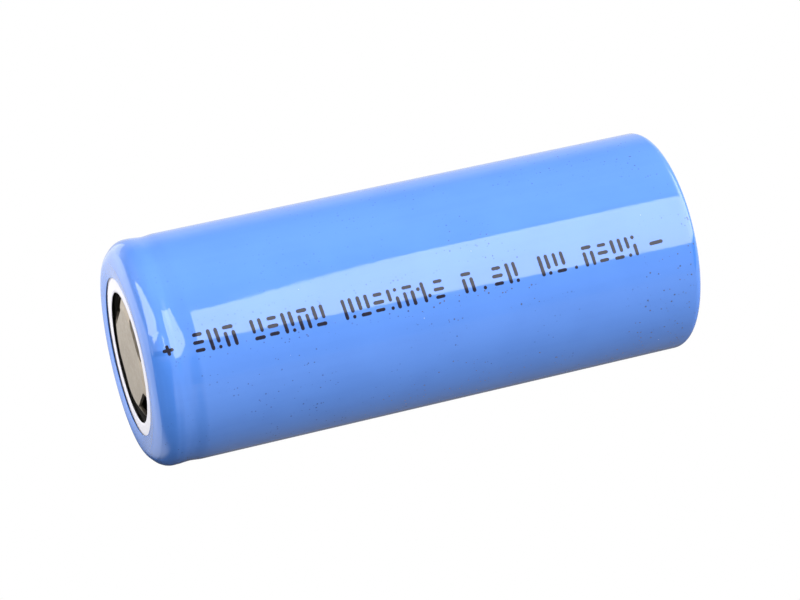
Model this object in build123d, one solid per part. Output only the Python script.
from build123d import *
import math
import os

# A cylindrical lithium cell, drawn standing on its negative end, sizes in millimetres.
# Z runs up the cell's axis and the origin is the centre of the face the cell stands on.

# The cell as a whole
CELL_RADIUS = 13.1
CAP_TOP = 65.25
WASHER_TOP = 65.27
FILM_EDGE_TOP = 65.50

# Room between pieces that lie on each other, and how far a cut runs past the piece it cuts
FIT_GAP = 0.02
CUT_PAST = 1.0

# Shrink sleeve
FILM = 0.12
FILM_BOTTOM_OPENING = 9.4
FILM_TOP_OPENING = 9.3
FILM_BOTTOM_CORNER = 0.97
FILM_SHOULDER = 1.97
FILM_DIP = 0.11
FILM_DIP_REACH = 1.1
FILM_DIP_BENDS = [3.0, 2.0, 1.0]
FILM_ON_WASHER = 0.005
FILM_RISE_RADIUS = 10.4
FILM_RISE_BEND = 3.0

# Can
STEEL = 0.30
CAN_RADIUS = CELL_RADIUS - FILM - FIT_GAP
CAN_BOTTOM = FILM + FIT_GAP
CAN_BOTTOM_CORNER = 0.85
PAD_RADIUS = 7.0
PAD_DEPTH = 0.10
PAD_SLOPE = 0.4
PAD_BEND = 0.4
GROOVE_FLOOR = 11.6
GROOVE_LOW = 60.55
GROOVE_BEND = 0.42
BEAD_TOP = 62.37
LIP_TOP = 65.12
LIP_OPENING = 9.9
CRIMP_BEND = 1.70

# Crimped closure, each layer lying on the one below it
GASKET = 0.52
GASKET_LEDGE_OPENING = 9.9
GASKET_LIP_OPENING = 7.75
GASKET_BEND = 0.4
VENT_SHEET = 0.30
VENT_RIM_BOTTOM = BEAD_TOP + FIT_GAP + GASKET + FIT_GAP
HEM_BEND = 0.80
VENT_DISH_BEND = 0.4
VENT_RIM_BEND = 0.2
HEM_OPENING = 10.0
PTC_INNER = 8.2
PTC_OUTER = 11.6
PTC_THICKNESS = 0.28
PTC_BOTTOM = VENT_RIM_BOTTOM + VENT_SHEET + FIT_GAP
CAP_SHEET = 0.35
FLANGE_BOTTOM = PTC_BOTTOM + PTC_THICKNESS + FIT_GAP
FLANGE_RADIUS = 11.35

# Positive cap
PLATEAU_RADIUS = 5.75
PLATEAU_BEND = 0.4
SKIRT_RADIUS = 7.32
SKIRT_DROP = 0.62
SKIRT_BEND = 0.3
FLANGE_BEND = 0.35
# The press cuts the four windows unevenly: each reaches in to its own distance from the axis
WINDOW_AZIMUTH = 16.0
WINDOW_INNERS = (5.55, 4.85, 5.3, 5.2)
WINDOW_OUTER = 6.9
WINDOW_HALF_LENGTH = 2.6
WINDOW_CORNER = 0.25

# White washer round the cap
WASHER_OPENING = 7.5
WASHER_RADIUS = 11.0
WASHER_ROUND = 0.05

# Current interrupter under the cap
VENT_FLOOR = 62.25
SCORE_RADIUS = 4.95
SCORE_GAP = 0.05
DISH_RADIUS = 8.2
DISH_TOP_RADIUS = 9.2
DIAPHRAGM_SHEET = 0.20
DIAPHRAGM_BOSS = 1.3
DIAPHRAGM_CONE = 3.0
DIAPHRAGM_BEND = 0.5
BREAKER_RADIUS = 8.5
BREAKER_THICKNESS = 0.40
BREAKER_TOP = 61.45
GAS_HOLE_RADIUS = 0.75
GAS_HOLE_CIRCLE = 3.9
GAS_HOLES = 6
HOLDER_RADIUS = 9.05
HOLDER_OPENING = 5.6
HOLDER_LIP_OPENING = 8.0
HOLDER_LIP = 0.25

# Wound roll: four layers, their thicknesses and the gaps between them
SEPARATOR = 0.04
CATHODE = 0.18
ANODE = 0.15
LAYER_GAP = 0.02
PITCH = 2 * SEPARATOR + CATHODE + ANODE + 4 * LAYER_GAP
CORE_RADIUS = 1.95
ANODE_HALF_TURNS = 41
CATHODE_HALF_TURNS = 38
SEPARATOR_HALF_TURNS = ANODE_HALF_TURNS + 2
CATHODE_OFFSET = SEPARATOR + LAYER_GAP
OUTER_SEPARATOR_OFFSET = CATHODE_OFFSET + CATHODE + LAYER_GAP
ANODE_OFFSET = OUTER_SEPARATOR_OFFSET + SEPARATOR + LAYER_GAP
ROLL_BOTTOM = 1.2
ROLL_TOP = 59.0
ANODE_MARGIN = 0.5
CATHODE_MARGIN = 1.0
END_TAPE = 0.05
END_TAPE_MARGIN = 6.0

# Tabs and insulators
TAB_WIDTH = 5.0
POSITIVE_TAB = 0.09
NEGATIVE_TAB = 0.08
CATHODE_FOIL = 0.04
ANODE_FOIL = 0.03
TAB_IN_ROLL = 40.0
TAB_TAPE_MARGIN = 0.3
POSITIVE_TAB_HALF_TURN = 20
NEGATIVE_TAB_HALF_TURN = 39
INSULATOR = 0.30
INSULATOR_RADIUS = 12.4
TOP_INSULATOR_BOTTOM = 59.2
BOTTOM_INSULATOR_BOTTOM = 0.72
CENTRE_PIN_RADIUS = 1.6
CENTRE_PIN_WALL = 0.2
CENTRE_PIN_SLIT = 0.4
CENTRE_PIN_INSET = 0.1
TAB_STEP = 0.1
POSITIVE_FOLD_HEIGHT = 60.25
POSITIVE_FOLD_REACH = -5.0
POSITIVE_TAB_END = 3.0
POSITIVE_TAB_BENDS = [0.4, 0.3, 0.3]
NEGATIVE_TAB_END = 2.5
NEGATIVE_TAB_BEND = 0.15
NEGATIVE_FLAT_TOP = 0.88
TAB_SLICE = 0.005
INSULATOR_HOLES = 5
INSULATOR_HOLE_RADIUS = 1.1
INSULATOR_HOLE_CIRCLE = 9.6
INSULATOR_FIRST_HOLE = -126
TOP_INSULATOR_OPENING = 2.2
BOTTOM_INSULATOR_OPENING = 1.8
TAB_SLOT_SIDE = 0.6
TAB_SLOT_WIDTH = 1.2
TAB_NOTCH_SIDE = 0.4
TAB_NOTCH_WIDTH = 2.0
TAB_NOTCH_OUTWARD = 0.6


def shifted(points, distance):
    """The line through the points moved sideways, to the left of the way it runs."""
    moved = []
    for i, point in enumerate(points):
        before = Vector(*points[max(i - 1, 0)])
        here = Vector(*point)
        after = Vector(*points[min(i + 1, len(points) - 1)])
        ways = [(here - before), (after - here)]
        sides = [Vector(-w.Y, w.X).normalized() for w in ways if w.length > 0]
        side = sum(sides, Vector(0, 0)).normalized()
        moved.append(tuple(here + side * (distance / side.dot(sides[0])))[:2])
    return moved


def turn_direction(points, i):
    """+1 where the line turns left at its point i, -1 where it turns right."""
    before = Vector(*points[i]) - Vector(*points[i - 1])
    after = Vector(*points[i + 1]) - Vector(*points[i])
    return math.copysign(1, before.X * after.Y - before.Y * after.X)


def rounded_line(points, bends):
    """Edges through the points, with a round bend of the given radius at each inner point."""
    arcs = []
    for i, bend in enumerate(bends, start=1):
        corner = Vector(*points[i])
        back = (Vector(*points[i - 1]) - corner).normalized()
        on = (Vector(*points[i + 1]) - corner).normalized()
        half = math.acos(max(-1, min(1, back.dot(on)))) / 2
        reach = bend / math.tan(half)
        inward = (back + on).normalized() * (bend / math.sin(half) - bend)
        arcs.append((corner + back * reach, corner + inward, corner + on * reach))
    edges = []
    place = Vector(*points[0])
    for start, middle, end in arcs:
        edges.append(Edge.make_line(place, start))
        edges.append(Edge.make_three_point_arc(start, middle, end))
        place = end
    edges.append(Edge.make_line(place, Vector(*points[-1])))
    return edges


def sheet_outline(points, bends, thickness):
    """The face of a bent sheet seen edge on, from the line and the bends of its middle."""
    sides = []
    for distance in (thickness / 2, -thickness / 2):
        line = shifted(points, distance)
        radii = [
            bend - distance * turn_direction(points, i)
            for i, bend in enumerate(bends, start=1)
        ]
        sides.append((line, rounded_line(line, radii)))
    (left, left_edges), (right, right_edges) = sides
    ends = [
        Edge.make_line(Vector(*left[0]), Vector(*right[0])),
        Edge.make_line(Vector(*left[-1]), Vector(*right[-1])),
    ]
    return Face(Wire(left_edges + right_edges + ends))


def turned(face):
    """A solid of revolution from a face whose X is the radius and whose Y is the height."""
    upright = Plane.XZ * face
    return revolve(upright, Axis.Z)


def pressed(points, bends, thickness):
    """A sheet bent along a line and turned round the axis."""
    return turned(sheet_outline(points, bends, thickness))


def ring(inner, outer, bottom, top):
    """A flat ring, or a disc where inner is 0."""
    corners = [(inner, bottom), (outer, bottom), (outer, top), (inner, top)]
    return turned(Face(Wire.make_polygon([Vector(*c) for c in corners])))


def round_hole(radius, x, y, bottom, top):
    middle = (bottom + top) / 2
    return Pos(x, y, middle) * Cylinder(radius, top - bottom)


def spaced(count, radius, first=0.0):
    """Points spaced evenly round a circle."""
    turns = [math.radians(first + 360 * n / count) for n in range(count)]
    return [(radius * math.cos(t), radius * math.sin(t)) for t in turns]


def sleeve():
    """Shrink film from the fold under the can, up the barrel and in over the washer."""
    middle = CELL_RADIUS - FILM / 2
    dip = (GROOVE_LOW + BEAD_TOP) / 2
    fold = WASHER_TOP + FILM_ON_WASHER + FILM / 2
    edge = FILM_EDGE_TOP - FILM / 2
    line = [
        (FILM_BOTTOM_OPENING, FILM / 2),
        (middle, FILM / 2),
        (middle, dip - FILM_DIP_REACH),
        (middle - FILM_DIP, dip),
        (middle, dip + FILM_DIP_REACH),
        (middle, fold),
        (FILM_RISE_RADIUS, fold),
        (FILM_TOP_OPENING, edge),
    ]
    bends = [FILM_BOTTOM_CORNER - FILM / 2, *FILM_DIP_BENDS, FILM_SHOULDER - FILM / 2, FILM_RISE_BEND]
    return pressed(line, bends, FILM)


def can():
    """Drawn steel can with the groove that carries the closure and the lip crimped over it."""
    wall = CAN_RADIUS - STEEL / 2
    floor = CAN_BOTTOM + STEEL / 2
    groove = GROOVE_FLOOR - STEEL / 2
    groove_high = BEAD_TOP - STEEL / 2
    lip = LIP_TOP - STEEL / 2
    line = [
        (0, floor + PAD_DEPTH),
        (PAD_RADIUS, floor + PAD_DEPTH),
        (PAD_RADIUS + PAD_SLOPE, floor),
        (wall, floor),
        (wall, GROOVE_LOW),
        (groove, GROOVE_LOW),
        (groove, groove_high),
        (wall, groove_high),
        (wall, lip),
        (LIP_OPENING, lip),
    ]
    bends = [PAD_BEND, PAD_BEND, CAN_BOTTOM_CORNER - STEEL / 2]
    bends += [GROOVE_BEND] * 4
    bends += [CRIMP_BEND - STEEL / 2]
    return pressed(line, bends, STEEL)


def insulating_washer():
    washer = ring(WASHER_OPENING, WASHER_RADIUS, LIP_TOP + FIT_GAP, WASHER_TOP)
    return fillet(washer.edges().group_by(Axis.Z)[-1], WASHER_ROUND)


def crimp_gasket():
    """Moulded seal round the rim of the closure, squeezed by the can's lip."""
    wall = CAN_RADIUS - STEEL - 2 * FIT_GAP - GASKET / 2
    ledge = BEAD_TOP + FIT_GAP + GASKET / 2
    lip = LIP_TOP - STEEL - 2 * FIT_GAP - GASKET / 2
    line = [
        (GASKET_LEDGE_OPENING, ledge),
        (wall, ledge),
        (wall, lip),
        (GASKET_LIP_OPENING, lip),
    ]
    crimp = CRIMP_BEND - STEEL - 2 * FIT_GAP - GASKET / 2
    return pressed(line, [GASKET_BEND, crimp], GASKET)


def vent_disc():
    """Aluminium disc under the cap: a scored floor, a rim and a hem folded over the cap's flange."""
    floor = VENT_FLOOR
    rim = VENT_RIM_BOTTOM + VENT_SHEET / 2
    wall = CAN_RADIUS - STEEL - GASKET - 4 * FIT_GAP - VENT_SHEET / 2
    hem = FLANGE_BOTTOM + CAP_SHEET + FIT_GAP + VENT_SHEET / 2
    line = [
        (SCORE_RADIUS, floor),
        (DISH_RADIUS, floor),
        (DISH_TOP_RADIUS, rim),
        (wall, rim),
        (wall, hem),
        (HEM_OPENING, hem),
    ]
    bends = [VENT_DISH_BEND, VENT_DISH_BEND, VENT_RIM_BEND, HEM_BEND - VENT_SHEET / 2]
    return pressed(line, bends, VENT_SHEET)


def vent_diaphragm():
    """The middle of the vent disc, inside its score line, dished down to its weld spot."""
    boss = BREAKER_TOP + FIT_GAP + DIAPHRAGM_SHEET / 2
    line = [
        (0, boss),
        (DIAPHRAGM_BOSS, boss),
        (DIAPHRAGM_CONE, VENT_FLOOR),
        (SCORE_RADIUS - SCORE_GAP, VENT_FLOOR),
    ]
    return pressed(line, [DIAPHRAGM_BEND, DIAPHRAGM_BEND], DIAPHRAGM_SHEET)


def ptc_ring():
    return ring(PTC_INNER, PTC_OUTER, PTC_BOTTOM, PTC_BOTTOM + PTC_THICKNESS)


def cap_window(inner):
    """Straight inner edge, round outer edge and two rounded corners."""
    middle = (inner + WINDOW_OUTER) / 2
    block = Pos(middle, 0) * Rectangle(WINDOW_OUTER - inner, 2 * WINDOW_HALF_LENGTH)
    shape = block & Circle(WINDOW_OUTER)
    shape = fillet(shape.vertices(), WINDOW_CORNER)
    return Pos(0, 0, FLANGE_BOTTOM + CAP_SHEET) * extrude(shape, CAP_TOP - FLANGE_BOTTOM)


def positive_cap():
    """Pressed cap: flat contact, sloping skirt with vent windows, and a flange held in the crimp."""
    top = CAP_TOP - CAP_SHEET / 2
    flange = FLANGE_BOTTOM + CAP_SHEET / 2
    line = [
        (0, top),
        (PLATEAU_RADIUS, top),
        (SKIRT_RADIUS - CAP_SHEET / 2, top - SKIRT_DROP),
        (SKIRT_RADIUS - CAP_SHEET / 2, flange),
        (FLANGE_RADIUS, flange),
    ]
    cap = pressed(line, [PLATEAU_BEND, SKIRT_BEND, FLANGE_BEND], CAP_SHEET)
    for n, inner in enumerate(WINDOW_INNERS):
        cap -= Rot(0, 0, WINDOW_AZIMUTH + n * 360 / len(WINDOW_INNERS)) * cap_window(inner)
    return cap


def breaker_plate():
    """Perforated plate under the diaphragm, which the positive tab is welded to."""
    bottom = BREAKER_TOP - BREAKER_THICKNESS
    plate = ring(0, BREAKER_RADIUS, bottom, BREAKER_TOP)
    for x, y in spaced(GAS_HOLES, GAS_HOLE_CIRCLE):
        plate -= round_hole(GAS_HOLE_RADIUS, x, y, bottom - CUT_PAST, BREAKER_TOP + CUT_PAST)
    return plate


def breaker_holder():
    """Moulded ring that grips the edge of the breaker plate and spaces it from the vent disc."""
    top = VENT_FLOOR - VENT_SHEET / 2 - FIT_GAP
    plate_bottom = BREAKER_TOP - BREAKER_THICKNESS - FIT_GAP
    body = ring(HOLDER_OPENING, HOLDER_RADIUS, plate_bottom - HOLDER_LIP, top)
    body -= ring(0, BREAKER_RADIUS + FIT_GAP, plate_bottom, BREAKER_TOP + FIT_GAP)
    body -= ring(0, HOLDER_LIP_OPENING, plate_bottom - CUT_PAST, plate_bottom + FIT_GAP)
    return body


def half_turn_centre(n):
    """The roll is drawn with half circles from two centres, one for each side of the X axis."""
    return -PITCH / 4 if n % 2 == 0 else PITCH / 4


def half_turn_radius(n, offset):
    return CORE_RADIUS + offset + n * PITCH / 2


def half_turns(first, last, offset):
    """One face of a wound layer: half circles that grow by half the pitch each time."""
    arcs = []
    for n in range(first, last):
        centre = half_turn_centre(n)
        radius = half_turn_radius(n, offset)
        side = 1 if n % 2 == 0 else -1
        start = Vector(centre + side * radius, 0)
        middle = Vector(centre, side * radius)
        end = Vector(centre - side * radius, 0)
        arcs.append(Edge.make_three_point_arc(start, middle, end))
    return arcs


def wound(first, last, offset, thickness, bottom, top):
    """A layer of the roll, from one half turn to another."""
    inner = half_turns(first, last, offset)
    outer = half_turns(first, last, offset + thickness)
    ends = [
        Edge.make_line(inner[0] @ 0, outer[0] @ 0),
        Edge.make_line(inner[-1] @ 1, outer[-1] @ 1),
    ]
    face = Face(Wire(inner + outer + ends))
    return Pos(0, 0, bottom) * extrude(face, top - bottom, dir=(0, 0, 1))


def tab_sector(half_turn, inner, outer, width, bottom, top):
    """A strip as wide as a tab that follows one half turn of the roll."""
    centre = half_turn_centre(half_turn)
    side = 1 if half_turn % 2 == 0 else -1
    tube = Cylinder(outer, top - bottom) - Cylinder(inner, top - bottom)
    slab = Pos(0, side * outer / 2, 0) * Box(width, outer, top - bottom)
    return Pos(centre, 0, (bottom + top) / 2) * (tube & slab)


def cathode_tab_radius():
    return half_turn_radius(POSITIVE_TAB_HALF_TURN, CATHODE_OFFSET) + CATHODE_FOIL + LAYER_GAP / 2


def anode_tab_radius():
    return half_turn_radius(NEGATIVE_TAB_HALF_TURN, ANODE_OFFSET) + ANODE_FOIL + LAYER_GAP / 2


def cathode_sheet():
    """Coated aluminium foil, left bare in one place for its tab."""
    bottom = ROLL_BOTTOM + CATHODE_MARGIN
    top = ROLL_TOP - CATHODE_MARGIN
    sheet = wound(1, CATHODE_HALF_TURNS, CATHODE_OFFSET, CATHODE, bottom, top)
    foil = half_turn_radius(POSITIVE_TAB_HALF_TURN, CATHODE_OFFSET) + CATHODE_FOIL
    bare = tab_sector(
        POSITIVE_TAB_HALF_TURN,
        foil,
        foil + CATHODE,
        TAB_WIDTH + 2 * TAB_TAPE_MARGIN,
        top - TAB_IN_ROLL - TAB_TAPE_MARGIN,
        top + CUT_PAST,
    )
    return sheet - bare


def anode_sheet():
    """Coated copper foil, left bare in one place for its tab."""
    bottom = ROLL_BOTTOM + ANODE_MARGIN
    top = ROLL_TOP - ANODE_MARGIN
    sheet = wound(0, ANODE_HALF_TURNS, ANODE_OFFSET, ANODE, bottom, top)
    foil = half_turn_radius(NEGATIVE_TAB_HALF_TURN, ANODE_OFFSET) + ANODE_FOIL
    bare = tab_sector(
        NEGATIVE_TAB_HALF_TURN,
        foil,
        foil + ANODE,
        TAB_WIDTH + 2 * TAB_TAPE_MARGIN,
        bottom - CUT_PAST,
        bottom + TAB_IN_ROLL + TAB_TAPE_MARGIN,
    )
    return sheet - bare


def separator_inner():
    return wound(0, SEPARATOR_HALF_TURNS, 0, SEPARATOR, ROLL_BOTTOM, ROLL_TOP)


def separator_outer():
    offset = OUTER_SEPARATOR_OFFSET
    return wound(0, ANODE_HALF_TURNS, offset, SEPARATOR, ROLL_BOTTOM, ROLL_TOP)


def roll_end_tape():
    """Tape once round the roll, which stops it unwinding."""
    first = SEPARATOR_HALF_TURNS - 2
    offset = SEPARATOR + LAYER_GAP
    bottom = ROLL_BOTTOM + END_TAPE_MARGIN
    top = ROLL_TOP - END_TAPE_MARGIN
    return wound(first, SEPARATOR_HALF_TURNS, offset, END_TAPE, bottom, top)


def strip(points, bends, thickness, width, centre):
    """A flat strip bent along a line of Y and Z points."""
    face = Plane.YZ * sheet_outline(points, bends, thickness)
    return Pos(centre, 0, 0) * extrude(face, width / 2, dir=(1, 0, 0), both=True)


def flattened(half_turn, radius, thickness, curved_at, flat_at, flat_middle):
    """The short length of a tab that goes from the curve of the roll to flat."""
    centre = half_turn_centre(half_turn)
    top = curved_at + TAB_SLICE
    block = tab_sector(half_turn, radius, radius + thickness, TAB_WIDTH, curved_at, top)
    curved = block.faces().sort_by(Axis.Z)[0]
    flat = Pos(centre, flat_middle, flat_at) * Rectangle(TAB_WIDTH, thickness)
    return loft([curved, flat.face()])


def positive_tab():
    """Aluminium strip from the cathode up to the breaker plate, folded once on the way."""
    radius = cathode_tab_radius()
    flat = radius + POSITIVE_TAB / 2
    curved_top = ROLL_TOP + TAB_STEP
    flat_bottom = TOP_INSULATOR_BOTTOM + INSULATOR + TAB_STEP
    fold = POSITIVE_FOLD_HEIGHT
    reach = POSITIVE_FOLD_REACH
    plate = BREAKER_TOP - BREAKER_THICKNESS - FIT_GAP - POSITIVE_TAB / 2
    line = [(flat, flat_bottom), (flat, fold), (reach, fold), (reach, plate), (POSITIVE_TAB_END, plate)]
    centre = half_turn_centre(POSITIVE_TAB_HALF_TURN)
    tab = strip(line, POSITIVE_TAB_BENDS, POSITIVE_TAB, TAB_WIDTH, centre)
    bottom = ROLL_TOP - CATHODE_MARGIN - TAB_IN_ROLL
    tab += tab_sector(
        POSITIVE_TAB_HALF_TURN, radius, radius + POSITIVE_TAB, TAB_WIDTH, bottom, curved_top
    )
    half_turn = POSITIVE_TAB_HALF_TURN
    tab += flattened(half_turn, radius, POSITIVE_TAB, curved_top, flat_bottom, flat)
    return tab


def negative_tab():
    """Nickel strip from the anode down and across the can's floor to the weld under the core."""
    radius = anode_tab_radius()
    flat = -(radius + NEGATIVE_TAB / 2)
    curved_bottom = ROLL_BOTTOM - FIT_GAP
    floor = CAN_BOTTOM + STEEL + PAD_DEPTH + FIT_GAP + NEGATIVE_TAB / 2
    line = [(flat, NEGATIVE_FLAT_TOP), (flat, floor), (NEGATIVE_TAB_END, floor)]
    centre = half_turn_centre(NEGATIVE_TAB_HALF_TURN)
    tab = strip(line, [NEGATIVE_TAB_BEND], NEGATIVE_TAB, TAB_WIDTH, centre)
    top = ROLL_BOTTOM + ANODE_MARGIN + TAB_IN_ROLL
    tab += tab_sector(
        NEGATIVE_TAB_HALF_TURN, radius, radius + NEGATIVE_TAB, TAB_WIDTH, curved_bottom, top
    )
    half_turn = NEGATIVE_TAB_HALF_TURN
    tab += flattened(half_turn, radius, NEGATIVE_TAB, curved_bottom, NEGATIVE_FLAT_TOP, flat)
    return tab


def tab_tape(half_turn, layer_inner, layer, tab_inner, tab, bottom, top):
    """Tape wrapped round a tab where it leaves its foil, as thick as the coated layer."""
    width = TAB_WIDTH + 2 * TAB_TAPE_MARGIN
    gap = LAYER_GAP / 4
    wrap = tab_sector(half_turn, layer_inner, layer_inner + layer, width, bottom, top)
    room = tab_sector(
        half_turn, tab_inner - gap, tab_inner + tab + gap, TAB_WIDTH + 2 * gap, bottom, top
    )
    return wrap - room


def positive_tab_tape():
    layer = half_turn_radius(POSITIVE_TAB_HALF_TURN, CATHODE_OFFSET)
    return tab_tape(
        POSITIVE_TAB_HALF_TURN,
        layer,
        CATHODE,
        cathode_tab_radius(),
        POSITIVE_TAB,
        ROLL_TOP - CATHODE_MARGIN + LAYER_GAP,
        ROLL_TOP + TAB_STEP,
    )


def negative_tab_tape():
    layer = half_turn_radius(NEGATIVE_TAB_HALF_TURN, ANODE_OFFSET)
    return tab_tape(
        NEGATIVE_TAB_HALF_TURN,
        layer,
        ANODE,
        anode_tab_radius(),
        NEGATIVE_TAB,
        ROLL_BOTTOM,
        ROLL_BOTTOM + ANODE_MARGIN - LAYER_GAP,
    )


def centre_pin():
    """Slit steel tube that keeps the core of the roll open for gas."""
    bottom = ROLL_BOTTOM + CENTRE_PIN_INSET
    top = ROLL_TOP - CENTRE_PIN_INSET
    pin = ring(CENTRE_PIN_RADIUS - CENTRE_PIN_WALL, CENTRE_PIN_RADIUS, bottom, top)
    slit = Box(CENTRE_PIN_RADIUS * 2, CENTRE_PIN_SLIT, top - bottom + CUT_PAST)
    return pin - Pos(CENTRE_PIN_RADIUS, 0, (bottom + top) / 2) * slit


def top_insulator():
    """Disc over the roll, with holes for gas and a slot that the positive tab comes up through."""
    bottom = TOP_INSULATOR_BOTTOM
    top = bottom + INSULATOR
    disc = ring(TOP_INSULATOR_OPENING, INSULATOR_RADIUS, bottom, top)
    for x, y in spaced(INSULATOR_HOLES, INSULATOR_HOLE_CIRCLE, INSULATOR_FIRST_HOLE):
        disc -= round_hole(INSULATOR_HOLE_RADIUS, x, y, bottom - CUT_PAST, top + CUT_PAST)
    slot = Box(TAB_WIDTH + 2 * TAB_SLOT_SIDE, TAB_SLOT_WIDTH, 2 * CUT_PAST)
    across = cathode_tab_radius() - TAB_STEP
    return disc - Pos(half_turn_centre(POSITIVE_TAB_HALF_TURN), across, bottom) * slot


def bottom_insulator():
    """Disc under the roll, with a notch that the negative tab goes down through."""
    bottom = BOTTOM_INSULATOR_BOTTOM
    disc = ring(BOTTOM_INSULATOR_OPENING, INSULATOR_RADIUS, bottom, bottom + INSULATOR)
    notch = Box(TAB_WIDTH + 2 * TAB_NOTCH_SIDE, TAB_NOTCH_WIDTH, 2 * CUT_PAST)
    across = -(anode_tab_radius() + TAB_NOTCH_OUTWARD)
    return disc - Pos(half_turn_centre(NEGATIVE_TAB_HALF_TURN), across, bottom) * notch


PARTS = [
    sleeve,
    insulating_washer,
    can,
    crimp_gasket,
    positive_cap,
    ptc_ring,
    vent_disc,
    vent_diaphragm,
    breaker_holder,
    breaker_plate,
    positive_tab,
    positive_tab_tape,
    top_insulator,
    cathode_sheet,
    anode_sheet,
    separator_inner,
    separator_outer,
    roll_end_tape,
    centre_pin,
    bottom_insulator,
    negative_tab,
    negative_tab_tape,
]

os.makedirs("parts", exist_ok=True)
for make in PARTS:
    shape = make()
    solids = shape.solids()
    print(make.__name__, len(solids), round(sum(s.volume for s in solids), 3))
    export_step(shape, "parts/" + make.__name__ + ".step")
